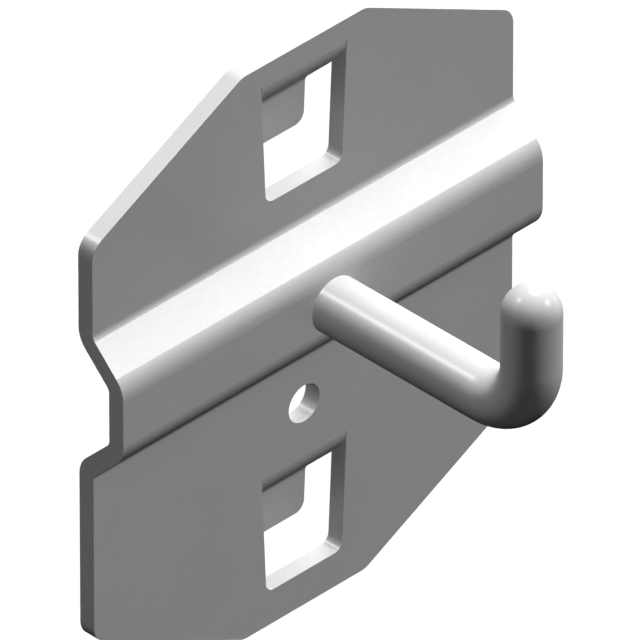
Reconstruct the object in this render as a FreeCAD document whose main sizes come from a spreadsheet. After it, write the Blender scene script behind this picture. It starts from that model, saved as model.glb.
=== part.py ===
import FreeCAD, Part
import math
import os
import Sketcher

# Single hook for a perforated tool panel: a pressed steel plate and a bent round bar.
# Millimetres. X is to the right seen from the front, Z is up and the hook points to -Y.
# The origin is on the plate's back face, which lies on the panel, midway between the two tongues.

SIZES = [
    ("sheet_thickness", 1.6, "steel sheet of the plate"),
    ("inside_radius", 0.8, "inside of every bend in the sheet"),
    ("outside_radius", 2.6, "outside of every bend, where pressing draws the sheet a little thinner"),
    ("bend_angle", 45.0, "slope of the bead's sides and of the tongues' joggles, in degrees"),
    ("plate_width", 47.2, "plate, side to side"),
    ("plate_height", 54.8, "plate, top to bottom"),
    ("corner_run", 16.7, "cut corner, measured along the top edge"),
    ("corner_rise", 8.4, "cut corner, measured along the side edge"),
    ("outline_radius", 2.0, "rounding of the eight corners of the outline"),
    ("bead_depth", 3.4, "how far the bead stands in front of the plate"),
    ("bead_face", 6.6, "height of the bead's flat face, to its sharp corners"),
    ("bead_height", 3.8, "bead's middle above the plate's middle"),
    ("window_margin", 3.3, "plate's end to the window beside it, which puts the tongues 38 mm apart"),
    ("tongue_width", 9.5, "tongue and window, side to side at the tongue's bend"),
    ("tongue_taper", 2.6, "how much each side of tongue and window leans in downwards, in degrees"),
    ("window_height", 10.2, "window, from its sill to the tongue's bend"),
    ("window_radius", 0.9, "rounding of the window's lower corners"),
    ("tongue_gap", 2.75, "room for the panel between plate and tongue"),
    ("tongue_length", 4.1, "straight part of the tongue"),
    ("tongue_radius", 1.0, "rounding of the tongue's lower corners"),
    ("lance_gap", 0.08, "sheared slit at each side of a tongue"),
    ("lance_relief", 0.2, "how far the slits run up past the tongue's bend"),
    ("screw_diameter", 3.5, "hole for the securing screw"),
    ("screw_drop", 7.6, "screw hole below the plate's middle"),
    ("rod_diameter", 5.0, "round bar of the hook"),
    ("rod_reach", 22.0, "bead's face to the axis of the upturned end"),
    ("rod_bend", 5.0, "bend radius at the bar's axis"),
    ("tip_height", 12.6, "top of the upturned end above the bar's axis"),
    ("tenon_diameter", 3.2, "turned-down end of the bar, in the bead"),
    ("stake_flare", 0.5, "how far the tenon's end is staked out into its countersink"),
]

# Formulas of the sizes, used by more than one sub-part. Y first, then Z.
FRONT = "-size.sheet_thickness"
BEAD_FRONT = "-(size.sheet_thickness + size.bead_depth)"
# A sharp corner on one face of the bent sheet lies this far along from the other face's corner.
BEND_SHIFT = "size.sheet_thickness * tan(size.bend_angle / 2)"
# The upper window's middle. The lower window is as far below the origin as this is above it.
WINDOW_MIDDLE = "(size.plate_height / 2 - size.window_margin - size.window_height / 2)"
# A bend starts this far from its sharp corner on the outside of the sheet.
BEND_START = "size.outside_radius * tan(size.bend_angle / 2)"
# The axis of the bar's upturned end, and the middle of its rounded tip.
UPRIGHT = "-(size.sheet_thickness + size.bead_depth + size.rod_reach)"
DOME_HEIGHT = "size.bead_height + size.tip_height - size.rod_diameter / 2"

doc = FreeCAD.newDocument("single_hook")


def fill_sheet():
    """Writes each size to a cell of its own and gives the cell the size's name."""
    sheet = doc.addObject("Spreadsheet::Sheet", "size")
    for row, (name, value, note) in enumerate(SIZES, start=1):
        sheet.set("A%d" % row, name)
        sheet.set("B%d" % row, str(value))
        sheet.set("C%d" % row, note)
        sheet.setAlias("B%d" % row, name)
    doc.recompute()
    return sheet


sheet = fill_sheet()


def number(formula):
    """What a formula of the sizes comes to."""
    return float(sheet.evalExpression(formula))


def add_sketch(body, name, plane, offset=("0", "0", "0")):
    """A sketch on one of the body's origin planes, its origin moved by formulas in the plane's axes."""
    sketch = body.newObject("Sketcher::SketchObject", name)
    origin_plane = [f for f in body.Origin.OriginFeatures if f.Role == plane][0]
    sketch.AttachmentSupport = [(origin_plane, "")]
    sketch.MapMode = "FlatFace"
    for axis, formula in zip("xyz", offset):
        sketch.setExpression(".AttachmentOffset.Base." + axis, formula)
    return sketch


def bind(sketch, kind, *what):
    """A sketch dimension. The last value is its formula, and the rest say what it measures."""
    formula = what[-1]
    index = sketch.addConstraint(Sketcher.Constraint(kind, *what[:-1], number(formula)))
    sketch.setExpression("Constraints[%d]" % index, formula)


def pin(sketch, edge, end, place):
    """Holds one end of an edge at a place given as two formulas."""
    bind(sketch, "DistanceX", edge, end, place[0])
    bind(sketch, "DistanceY", edge, end, place[1])


def draw_outline(sketch, corners):
    """A closed outline of straight lines through corners, each given as two formulas."""
    first = sketch.GeometryCount
    points = [FreeCAD.Vector(number(u), number(v), 0) for u, v in corners]
    for start, end in zip(points, points[1:] + points[:1]):
        sketch.addGeometry(Part.LineSegment(start, end))
    for i, place in enumerate(corners):
        after = first + (i + 1) % len(corners)
        sketch.addConstraint(Sketcher.Constraint("Coincident", first + i, 2, after, 1))
        pin(sketch, first + i, 1, place)


def draw_circle(sketch, centre, diameter):
    """A circle round a centre given as two formulas."""
    middle = FreeCAD.Vector(number(centre[0]), number(centre[1]), 0)
    circle = sketch.addGeometry(Part.Circle(middle, FreeCAD.Vector(0, 0, 1), number(diameter) / 2))
    pin(sketch, circle, 3, centre)
    bind(sketch, "Diameter", circle, diameter)


def pad(body, name, sketch, length):
    """Material on both sides of a sketch, as long in all as the formula."""
    feature = body.newObject("PartDesign::Pad", name)
    feature.Profile = sketch
    feature.SideType = "Symmetric"
    feature.setExpression("Length", length)
    return feature


def cut_through(body, name, sketch):
    """A cut through everything on both sides of a sketch."""
    feature = body.newObject("PartDesign::Pocket", name)
    feature.Profile = sketch
    feature.Type = "ThroughAll"
    feature.SideType = "Symmetric"
    return feature


def revolve(body, name, sketch, axis):
    """A full turn of a sketch about one of its own axes."""
    feature = body.newObject("PartDesign::Revolution", name)
    feature.Profile = sketch
    feature.ReferenceAxis = (sketch, [axis])
    feature.Angle = 360
    return feature


def edges_along(feature, axis, places):
    """Names of the straight edges along one axis, at places given as formulas of the other two."""
    others = [other for other in range(3) if other != axis]
    spots = [[number(formula) for formula in place] for place in places]
    names = []
    for i, edge in enumerate(feature.Shape.Edges, start=1):
        ends = [vertex.Point for vertex in edge.Vertexes]
        for spot in spots:
            if all(abs(end[o] - s) < 1e-5 for end in ends for o, s in zip(others, spot)):
                names.append("Edge%d" % i)
    return names


def dress(body, kind, name, base, edges, bound, formula):
    """A fillet or chamfer on edges of a feature, with one of its sizes bound to a formula."""
    feature = body.newObject("PartDesign::" + kind, name)
    feature.Base = (base, edges)
    feature.setExpression(bound, formula)
    doc.recompute()
    return feature


def press_bead(body):
    """The sheet's side profile with its bead, drawn with sharp corners and then bent to radius."""
    lower_edge = "size.bead_height - size.bead_face / 2"
    upper_edge = "size.bead_height + size.bead_face / 2"
    rise = "size.bead_depth / tan(size.bend_angle)"
    lower_root = lower_edge + " - " + rise
    upper_root = upper_edge + " + " + rise
    front_bends = [
        (FRONT, lower_root),
        (BEAD_FRONT, lower_edge),
        (BEAD_FRONT, upper_edge),
        (FRONT, upper_root),
    ]
    back_bends = [
        ("0", upper_root + " - " + BEND_SHIFT),
        ("-size.bead_depth", upper_edge + " - " + BEND_SHIFT),
        ("-size.bead_depth", lower_edge + " + " + BEND_SHIFT),
        ("0", lower_root + " + " + BEND_SHIFT),
    ]
    top, bottom = "size.plate_height / 2", "-size.plate_height / 2"
    front_face = [(FRONT, bottom)] + front_bends + [(FRONT, top)]
    back_face = [("0", top)] + back_bends + [("0", bottom)]
    profile = add_sketch(body, "bead_profile", "YZ_Plane")
    draw_outline(profile, front_face + back_face)
    pressed = pad(body, "pressed_sheet", profile, "size.plate_width")
    doc.recompute()
    outside = front_bends[1:3] + [back_bends[0], back_bends[3]]
    inside = [front_bends[0], front_bends[3]] + back_bends[1:3]
    pressed = dress(body, "Fillet", "bead_outside_bends", pressed, edges_along(pressed, 0, outside),
                    "Radius", "size.outside_radius")
    return dress(body, "Fillet", "bead_inside_bends", pressed, edges_along(pressed, 0, inside),
                 "Radius", "size.inside_radius")


def cut_corners(body):
    """The four cut corners of the outline, then the rounding of the eight corners they leave."""
    cuts = add_sketch(body, "corner_cuts", "XZ_Plane")
    outline = []
    for side in ("", "-"):
        for end in ("", "-"):
            edge_x, edge_z = side + "size.plate_width / 2", end + "size.plate_height / 2"
            cut_x = side + "(size.plate_width / 2 - size.corner_run)"
            cut_z = end + "(size.plate_height / 2 - size.corner_rise)"
            draw_outline(cuts, [(edge_x, cut_z), (cut_x, edge_z), (edge_x, edge_z)])
            outline += [(edge_x, cut_z), (cut_x, edge_z)]
    octagon = cut_through(body, "cut_corners", cuts)
    doc.recompute()
    return dress(body, "Fillet", "outline_rounding", octagon, edges_along(octagon, 1, outline),
                 "Radius", "size.outline_radius")


def half_width(middle, height):
    """Half the window's width at a height, as a formula: the window is narrower towards its sill."""
    bend = "(%s + size.window_height / 2)" % middle
    return "(size.tongue_width / 2 + (%s - %s) * tan(size.tongue_taper))" % (height, bend)


def trapezium(middle, bottom, top, inset="0"):
    """The window's outline between two heights, moved in at each side."""
    low = half_width(middle, bottom) + " - " + inset
    high = half_width(middle, top) + " - " + inset
    return [("-(%s)" % low, bottom), (low, bottom), (high, top), ("-(%s)" % high, top)]


def slit_top(middle):
    """Where the sheared slits beside a tongue end, just past the start of its bend."""
    return "(%s + size.window_height / 2 + %s + size.lance_relief)" % (middle, BEND_START)


def make_tongue(name, middle):
    """A window's metal, joggled back behind the panel: its front outline cut to a bent strip."""
    body = doc.addObject("PartDesign::Body", name)
    bend = "(%s + size.window_height / 2)" % middle
    lower_bend = "(%s - (size.sheet_thickness + size.tongue_gap) / tan(size.bend_angle))" % bend
    tip = "(%s - size.tongue_length)" % lower_bend
    top = slit_top(middle)
    back = "(size.tongue_gap + size.sheet_thickness)"
    outline = add_sketch(body, name + "_outline", "XZ_Plane", ("0", "0", "-%s" % back))
    corners = trapezium(middle, tip, top, "size.lance_gap")
    draw_outline(outline, corners)
    blank = body.newObject("PartDesign::Pad", name + "_blank")
    blank.Profile = outline
    blank.setExpression("Length", "size.tongue_gap + 2 * size.sheet_thickness")
    waste = add_sketch(body, name + "_waste", "YZ_Plane")
    front_bends = [(FRONT, bend), ("size.tongue_gap", lower_bend)]
    back_bends = [(back, lower_bend + " + " + BEND_SHIFT), ("0", bend + " + " + BEND_SHIFT)]
    draw_outline(waste, front_bends + [("size.tongue_gap", tip), (FRONT, tip)])
    draw_outline(waste, back_bends + [("0", top), (back, top)])
    strip = cut_through(body, name + "_strip", waste)
    doc.recompute()
    outside = [front_bends[0], back_bends[0]]
    inside = [front_bends[1], back_bends[1]]
    bent = dress(body, "Fillet", name + "_outside_bends", strip, edges_along(strip, 0, outside),
                 "Radius", "size.outside_radius")
    bent = dress(body, "Fillet", name + "_inside_bends", bent, edges_along(bent, 0, inside),
                 "Radius", "size.inside_radius")
    body.Tip = dress(body, "Fillet", name + "_tip", bent, edges_along(bent, 1, corners[:2]),
                     "Radius", "size.tongue_radius")
    return body


def lance_windows(body):
    """Two windows, as far apart as the square holes in the panel, each with its tongue."""
    middles = (WINDOW_MIDDLE, "-" + WINDOW_MIDDLE)
    openings = add_sketch(body, "window_openings", "XZ_Plane")
    sills = []
    for middle in middles:
        outline = trapezium(middle, "(%s - size.window_height / 2)" % middle, slit_top(middle))
        draw_outline(openings, outline)
        sills += outline[:2]
    lanced = cut_through(body, "windows", openings)
    doc.recompute()
    dress(body, "Fillet", "window_rounding", lanced, edges_along(lanced, 1, sills),
          "Radius", "size.window_radius")
    tongues = [make_tongue(name, middle) for name, middle in zip(("upper_tongue", "lower_tongue"), middles)]
    joined = body.newObject("PartDesign::Boolean", "tongues")
    joined.Type = "Fuse"
    joined.setObjects(tongues)
    doc.recompute()
    return joined


def drill_holes(body):
    """The screw hole, and the bar's hole in the bead with its countersink in the bead's hollow."""
    screw_hole = add_sketch(body, "screw_hole_circle", "XZ_Plane")
    draw_circle(screw_hole, ("0", "-size.screw_drop"), "size.screw_diameter")
    cut_through(body, "screw_hole", screw_hole)
    bar_hole = add_sketch(body, "bar_hole_circle", "XZ_Plane")
    draw_circle(bar_hole, ("0", "size.bead_height"), "size.tenon_diameter")
    drilled = cut_through(body, "bar_hole", bar_hole)
    doc.recompute()
    rim_centre = FreeCAD.Vector(0, number("-size.bead_depth"), number("size.bead_height"))
    rim = [
        "Edge%d" % i for i, edge in enumerate(drilled.Shape.Edges, start=1)
        if isinstance(edge.Curve, Part.Circle)
        and abs(edge.Curve.Radius - number("size.tenon_diameter / 2")) < 1e-5
        and (edge.Curve.Center - rim_centre).Length < 1e-5
    ]
    return dress(body, "Chamfer", "bar_hole_countersink", drilled, rim, "Size", "size.stake_flare")


def make_mounting_plate():
    """The pressed plate: a sheet with a bead, cut corners, two lanced windows and two holes."""
    body = doc.addObject("PartDesign::Body", "mounting_plate")
    press_bead(body)
    cut_corners(body)
    lance_windows(body)
    body.Tip = drill_holes(body)
    return body


def bend_bar(body):
    """The bar from the bead's face to the start of its rounded end, with one bend of 90 degrees."""
    bend_y = UPRIGHT + " + size.rod_bend"
    bend_z = "size.bead_height + size.rod_bend"
    start = FreeCAD.Vector(number(BEAD_FRONT), number("size.bead_height"), 0)
    foot = FreeCAD.Vector(number(bend_y), start.y, 0)
    heel = FreeCAD.Vector(number(UPRIGHT), number(bend_z), 0)
    top = FreeCAD.Vector(heel.x, number(DOME_HEIGHT), 0)
    bend_centre = FreeCAD.Vector(foot.x, heel.y, 0)
    circle = Part.Circle(bend_centre, FreeCAD.Vector(0, 0, 1), number("size.rod_bend"))
    path = add_sketch(body, "bar_path", "YZ_Plane")
    path.addGeometry(Part.LineSegment(start, foot))
    path.addGeometry(Part.ArcOfCircle(circle, math.pi, 1.5 * math.pi))
    path.addGeometry(Part.LineSegment(heel, top))
    path.addConstraint(Sketcher.Constraint("Tangent", 0, 2, 1, 2))
    path.addConstraint(Sketcher.Constraint("Tangent", 1, 1, 2, 1))
    path.addConstraint(Sketcher.Constraint("Horizontal", 0))
    path.addConstraint(Sketcher.Constraint("Vertical", 2))
    bind(path, "Radius", 1, "size.rod_bend")
    pin(path, 0, 1, (BEAD_FRONT, "size.bead_height"))
    pin(path, 2, 2, (UPRIGHT, DOME_HEIGHT))
    section = add_sketch(body, "bar_section", "XZ_Plane", ("0", "0", "-(%s)" % BEAD_FRONT))
    draw_circle(section, ("0", "size.bead_height"), "size.rod_diameter")
    bar = body.newObject("PartDesign::AdditivePipe", "bent_bar")
    bar.Profile = section
    bar.Spine = (path, ["Edge1", "Edge2", "Edge3"])


def round_tip(body):
    """The full-radius end of the bar: a quarter disc turned about the upright's axis."""
    profile = add_sketch(body, "tip_profile", "YZ_Plane", (UPRIGHT, DOME_HEIGHT, "0"))
    origin = FreeCAD.Vector(0, 0, 0)
    radius = number("size.rod_diameter / 2")
    circle = Part.Circle(origin, FreeCAD.Vector(0, 0, 1), radius)
    profile.addGeometry(Part.LineSegment(origin, FreeCAD.Vector(radius, 0, 0)))
    profile.addGeometry(Part.ArcOfCircle(circle, 0, math.pi / 2))
    profile.addGeometry(Part.LineSegment(FreeCAD.Vector(0, radius, 0), origin))
    for edge, end in ((0, 1), (1, 3), (2, 2)):
        profile.addConstraint(Sketcher.Constraint("Coincident", edge, end, -1, 1))
    profile.addConstraint(Sketcher.Constraint("Coincident", 0, 2, 1, 1))
    profile.addConstraint(Sketcher.Constraint("Coincident", 1, 2, 2, 1))
    profile.addConstraint(Sketcher.Constraint("Horizontal", 0))
    profile.addConstraint(Sketcher.Constraint("Vertical", 2))
    bind(profile, "Radius", 1, "size.rod_diameter / 2")
    return revolve(body, "rounded_tip", profile, "V_Axis")


def turn_tenon(body):
    """The turned-down end, which fills its hole in the bead and is staked into the countersink."""
    profile = add_sketch(body, "tenon_profile", "YZ_Plane", (BEAD_FRONT, "size.bead_height", "0"))
    draw_outline(profile, [
        ("0", "0"),
        ("0", "size.tenon_diameter / 2"),
        ("size.sheet_thickness - size.stake_flare", "size.tenon_diameter / 2"),
        ("size.sheet_thickness", "size.tenon_diameter / 2 + size.stake_flare"),
        ("size.sheet_thickness", "0"),
    ])
    return revolve(body, "staked_tenon", profile, "H_Axis")


def make_hook_rod():
    """The bent bar that carries the tool, from its tenon in the bead to its rounded end."""
    body = doc.addObject("PartDesign::Body", "hook_rod")
    bend_bar(body)
    turn_tenon(body)
    body.Tip = round_tip(body)
    return body


pieces = [make_mounting_plate(), make_hook_rod()]
doc.recompute()
for item in doc.Objects:
    if "Invalid" in item.State or "Error" in item.State:
        raise RuntimeError("%s failed: %s" % (item.Label, item.State))
for piece in pieces:
    if piece.Shape.isNull() or not piece.Shape.isValid() or len(piece.Shape.Solids) != 1:
        raise RuntimeError("%s is not one valid solid" % piece.Label)
os.makedirs("parts", exist_ok=True)
for piece in pieces:
    piece.Shape.exportStep("parts/%s.step" % piece.Label)
    print("%s: %.1f cubic mm" % (piece.Label, piece.Shape.Volume))
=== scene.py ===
import math
import bpy
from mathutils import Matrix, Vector


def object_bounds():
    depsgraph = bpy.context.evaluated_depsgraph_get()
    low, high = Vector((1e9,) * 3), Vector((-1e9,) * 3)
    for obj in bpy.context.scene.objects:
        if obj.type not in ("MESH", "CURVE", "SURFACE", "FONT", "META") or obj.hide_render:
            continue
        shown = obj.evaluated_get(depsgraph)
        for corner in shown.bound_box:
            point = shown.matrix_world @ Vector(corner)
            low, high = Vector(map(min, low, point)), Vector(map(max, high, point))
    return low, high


# Looks for the single hook: a satin silver-grey pressed plate and its round bar, in soft studio light.
# Metres, in the frame of the CAD model: X right, Z up, and the hook points to -Y.

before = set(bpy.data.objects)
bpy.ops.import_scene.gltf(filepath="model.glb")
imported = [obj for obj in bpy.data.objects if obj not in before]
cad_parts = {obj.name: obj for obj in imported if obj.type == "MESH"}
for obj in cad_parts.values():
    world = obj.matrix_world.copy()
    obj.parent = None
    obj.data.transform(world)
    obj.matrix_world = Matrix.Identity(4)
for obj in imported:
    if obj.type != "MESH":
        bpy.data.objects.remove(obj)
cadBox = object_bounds()
mm = 0.001
print("frame loaded:", ", ".join(sorted(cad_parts)))


# shader maths

class Wire:  # one shader socket; maths on it adds its own nodes
    def __init__(self, tree, socket=None):
        self.tree = tree
        self.socket = socket

    def node(self, nodeType, settings, values, output=0):  # settings go in first, then the sockets
        made = self.tree.nodes.new(nodeType)
        for name, value in settings.items():
            setattr(made, name, value)
        for name, value in values.items():
            if isinstance(value, Wire):
                self.tree.links.new(value.socket, made.inputs[name])
            else:
                made.inputs[name].default_value = value
        return Wire(self.tree, made.outputs[output] if made.outputs else None)

    def maths(self, operation, first, second):
        return self.node("ShaderNodeMath", {"operation": operation}, {0: first, 1: second})

    def __add__(self, other):
        return self.maths("ADD", self, other)

    def __radd__(self, other):
        return self.maths("ADD", other, self)

    def __sub__(self, other):
        return self.maths("SUBTRACT", self, other)

    def __rsub__(self, other):
        return self.maths("SUBTRACT", other, self)

    def __mul__(self, other):
        return self.maths("MULTIPLY", self, other)

    def __rmul__(self, other):
        return self.maths("MULTIPLY", other, self)


def startMaterial(name):
    material = bpy.data.materials.new(name)
    material.use_nodes = True
    material.node_tree.nodes.clear()
    return material, Wire(material.node_tree)


# plate and bar

plateLook = {  # sizes, widths and depths are in millimetres on the metal
    "colour": (0.45, 0.45, 0.445),
    "metallic": 0.06,
    "roughness": 0.27,
    "specular": 0.0,  # the coat's only gloss is its metallic share
    "edgeTint": 0.0,  # keeps steeply seen faces from turning pale
    "cloudSize": 9.0,  # clouds are the slow drift of the coat
    "cloudTone": 0.035,  # how far the tone drifts either way
    "cloudGloss": 0.03,
    "grainSize": 0.16,  # grain is the coat's fine peel
    "grainTone": 0.022,
    "grainGloss": 0.05,
    "grainDepth": 0.0012,
    "edgeWidth": 0.2,
    "edgeWearAndHighlightTone": 0.12,  # the cut edges show a lighter rim, partly the coat worn thin and partly a painted edge highlight
    "paintedShadeSize": 4.0,
    "paintedShadeTone": 0.55,  # painted shade: the coat's colour is darkened where the metal folds in on itself
}
barLook = {  # the same coat, with a shallower peel on the drawn bar
    "colour": (0.45, 0.45, 0.445),
    "metallic": 0.065,
    "roughness": 0.28,
    "specular": 0.0,
    "edgeTint": 0.0,
    "cloudSize": 6.0,
    "cloudTone": 0.025,
    "cloudGloss": 0.02,
    "grainSize": 0.14,
    "grainTone": 0.025,
    "grainGloss": 0.04,
    "grainDepth": 0.0008,
    "edgeWidth": 0.2,
    # a faint lighter edge rim, partly wear and partly a painted edge highlight
    "edgeWearAndHighlightTone": 0.04,
    "paintedShadeSize": 4.0,
    # painted shade in the corners, lighter than on the plate
    "paintedShadeTone": 0.2,
}
coat = {  # how the patterns of the coat are made, the same on both pieces
    "cloudDetail": 3.0,
    "grainDetail": 2.0,
    "fineShare": 0.55,  # how much each finer layer of the noise counts
    "contrast": 2.5,  # noise keeps near its middle, and this spreads it to about -1 to 1
    "rimGain": 4.0,
    "rimSamples": 6,
    "paintedShadeSamples": 16,
}


def patches(wire, size, detail):  # soft random patches, from about -1 to 1
    place = wire.node("ShaderNodeTexCoord", {}, {}, output=3)  # the object's own coordinates
    noise = wire.node("ShaderNodeTexNoise", {"noise_dimensions": "3D"}, {
        "Vector": place, "Scale": 1 / (size * mm), "Detail": detail, "Roughness": coat["fineShare"]})
    return (noise - 0.5) * coat["contrast"]


def edgeRim(wire, width):  # 0 on open faces, rising to 1 on a sharp corner
    flat = wire.node("ShaderNodeNewGeometry", {}, {}, output=1)
    rounded = wire.node("ShaderNodeBevel", {"samples": coat["rimSamples"]}, {"Radius": width * mm})
    turn = wire.node("ShaderNodeVectorMath", {"operation": "DOT_PRODUCT"}, {0: flat, 1: rounded}, output=1)
    return wire.node("ShaderNodeMath", {"operation": "MULTIPLY", "use_clamp": True}, {
        0: 1 - turn, 1: coat["rimGain"]})


def paintedCornerShade(wire, size):  # painted shade mask: 0 on open faces, rising towards 1 deep in a corner, where less light reaches
    settings = {"samples": coat["paintedShadeSamples"], "only_local": True}
    openness = wire.node("ShaderNodeAmbientOcclusion", settings, {"Distance": size * mm}, output=1)
    return 1 - openness


def satinSteel(name, look):
    material, wire = startMaterial(name)
    cloud = patches(wire, look["cloudSize"], coat["cloudDetail"])
    grain = patches(wire, look["grainSize"], coat["grainDetail"])
    # lighter rim on sharp edges: partly edge wear, partly a painted edge highlight
    rim = edgeRim(wire, look["edgeWidth"])
    # painted shade: ambient occlusion darkens the colour in corners and folds
    paintedShade = paintedCornerShade(wire, look["paintedShadeSize"])
    tone = (1 + cloud * look["cloudTone"] + grain * look["grainTone"] + rim * look["edgeWearAndHighlightTone"]
            - paintedShade * look["paintedShadeTone"])
    colour = wire.node("ShaderNodeVectorMath", {"operation": "SCALE"}, {0: look["colour"], "Scale": tone})
    roughness = look["roughness"] + cloud * look["cloudGloss"] + grain * look["grainGloss"]
    peel = wire.node("ShaderNodeBump", {}, {"Height": grain, "Distance": look["grainDepth"] * mm})
    shader = wire.node("ShaderNodeBsdfPrincipled", {}, {
        "Base Color": colour,
        "Metallic": look["metallic"],
        "Roughness": roughness,
        "Normal": peel,
        "Specular IOR Level": look["specular"],
        "Specular Tint": (look["edgeTint"],) * 3 + (1,),
    })
    wire.node("ShaderNodeOutputMaterial", {}, {"Surface": shader})
    return material


def dressNode(name, material):
    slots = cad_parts[name].data.materials
    slots.clear()
    slots.append(material)


dressNode("mounting_plate", satinSteel("satinPlate", plateLook))
dressNode("hook_rod", satinSteel("satinBar", barLook))
print("plate and bar dressed")


# studio

studio = {
    "floorDrop": 40 * mm,  # clear space under the plate, so its shadow lies below the view
    "floorSize": 12.0,
    "floorColour": 0.46,  # what is seen of it, which the lamps bring to white
    "floorBounce": 0.01,  # what it throws back at the metal, to keep undersides dark
    "floorFade": (0.1, 0.28),  # distances where the floor starts and ends turning into the backdrop
    "ambient": 0.005,
    "lampDistance": 3.0,
}
# Each lamp has its direction from the hook, its width and height, and its brightness on the metal.
# The fills cast no shadow, and one without a glint lights the metal but isn't mirrored in it.
lamps = {
    "topSoftbox": {"from": (0.5, 0.25, 1), "size": (1.0, 1.0), "level": 0.5},
    "topFill": {"from": (0.5, 0.25, 1), "size": (0.8, 0.8), "level": 0.85, "shadowless": True},
    "frontFill": {
        "from": (0.3, -0.3, 1), "size": (0.8, 0.8), "level": 0.67, "shadowless": True, "glint": False,
    },
    "rightFill": {"from": (1, -0.9, 1), "size": (0.56, 0.56), "level": 0.42, "shadowless": True},
    "edgeFill": {"from": (1, -0.1, 0.1), "size": (0.8, 0.8), "level": 0.15, "shadowless": True},
    "leftFill": {"from": (-0.39, 0.55, 0.74), "size": (0.6, 0.6), "level": 0.365, "shadowless": True},
    "underFill": {"from": (0, 0.8, -1), "size": (0.8, 0.8), "level": 0.02, "shadowless": True},
}


def seenDirectly(wire):  # 1 for what the camera sees, straight or in a reflection, and 0 for stray light
    path = wire.node("ShaderNodeLightPath", {}, {}).socket.node
    camera, glossy, through = (
        Wire(wire.tree, path.outputs[name])
        for name in ("Is Camera Ray", "Is Glossy Ray", "Is Transmission Ray")
    )
    return wire.maths("MAXIMUM", wire.maths("MAXIMUM", camera, glossy), through)


def layFloor():
    material, wire = startMaterial("paleFloor")
    tones = [(tone, tone, tone, 1) for tone in (studio["floorBounce"], studio["floorColour"])]
    colour = wire.node("ShaderNodeMix", {"data_type": "RGBA"}, {
        0: seenDirectly(wire), 6: tones[0], 7: tones[1]}, output=2)  # 6 and 7 are the two colours
    near = wire.node("ShaderNodeBsdfDiffuse", {}, {"Color": colour})
    far = wire.node("ShaderNodeEmission", {}, {"Color": (1, 1, 1, 1), "Strength": seenDirectly(wire)})
    place = wire.node("ShaderNodeTexCoord", {}, {}, output=3)
    distance = wire.node("ShaderNodeVectorMath", {"operation": "LENGTH"}, {0: place}, output=1)
    fade = wire.node("ShaderNodeMapRange", {"interpolation_type": "SMOOTHSTEP"}, {
        0: distance, 1: studio["floorFade"][0], 2: studio["floorFade"][1]})
    shader = wire.node("ShaderNodeMixShader", {}, {0: fade, 1: near, 2: far})
    wire.node("ShaderNodeOutputMaterial", {}, {"Surface": shader})
    half = studio["floorSize"] / 2
    height = cadBox[0].z - studio["floorDrop"]
    mesh = bpy.data.meshes.new("floor")
    corners = [(x * half, y * half, height) for x, y in ((-1, -1), (1, -1), (1, 1), (-1, 1))]
    mesh.from_pydata(corners, [], [(0, 1, 2, 3)])
    mesh.materials.append(material)
    floor = bpy.data.objects.new("floor", mesh)
    bpy.context.scene.collection.objects.link(floor)


def lightWorld():
    world = bpy.data.worlds.new("studioAir")
    bpy.context.scene.world = world
    world.use_nodes = True
    world.node_tree.nodes.clear()
    wire = Wire(world.node_tree)
    strength = studio["ambient"] + seenDirectly(wire) * (1 - studio["ambient"])
    shader = wire.node("ShaderNodeBackground", {}, {"Color": (1, 1, 1, 1), "Strength": strength})
    wire.node("ShaderNodeOutputWorld", {}, {"Surface": shader})


def hangLamp(name, lamp):
    distance = studio["lampDistance"]
    light = bpy.data.lights.new(name, "AREA")
    light.shape = "RECTANGLE"
    light.size, light.size_y = lamp["size"]
    light.energy = lamp["level"] * (math.pi * distance) ** 2  # level 1 shows a colour as it is written
    light.use_shadow = not lamp.get("shadowless", False)
    light.cycles.use_multiple_importance_sampling = light.use_shadow
    direction = Vector(lamp["from"]).normalized()
    lampObject = bpy.data.objects.new(name, light)
    lampObject.location = direction * distance
    lampObject.rotation_mode = "QUATERNION"
    lampObject.rotation_quaternion = direction.to_track_quat("Z", "Y")
    lampObject.visible_camera = False
    lampObject.visible_glossy = lamp.get("glint", True)
    bpy.context.scene.collection.objects.link(lampObject)


layFloor()
lightWorld()
for lampName, lampLook in lamps.items():
    hangLamp(lampName, lampLook)
print("studio set")


# camera

view = {
    "from": (-1, -1, 1),  # from the left front and above, with the three axes equally short
    "aim": (1.60 * mm, -1.78 * mm, -0.18 * mm),  # what lies at the middle of the view
    "distance": 2.267,
    "lens": 1600,  # long enough for a nearly parallel view
    "sensor": 36,
    "reach": (0.1, 20),  # nearest and furthest distance that is drawn
}


def placeCamera():
    data = bpy.data.cameras.new("camera")
    data.lens = view["lens"]
    data.sensor_width = view["sensor"]
    data.clip_start, data.clip_end = view["reach"]
    direction = Vector(view["from"]).normalized()
    camera = bpy.data.objects.new("camera", data)
    camera.location = Vector(view["aim"]) + direction * view["distance"]
    camera.rotation_mode = "QUATERNION"
    camera.rotation_quaternion = direction.to_track_quat("Z", "Y")
    bpy.context.scene.collection.objects.link(camera)
    bpy.context.scene.camera = camera


placeCamera()
bpy.context.scene.view_settings.view_transform = "Standard"
print("camera placed")
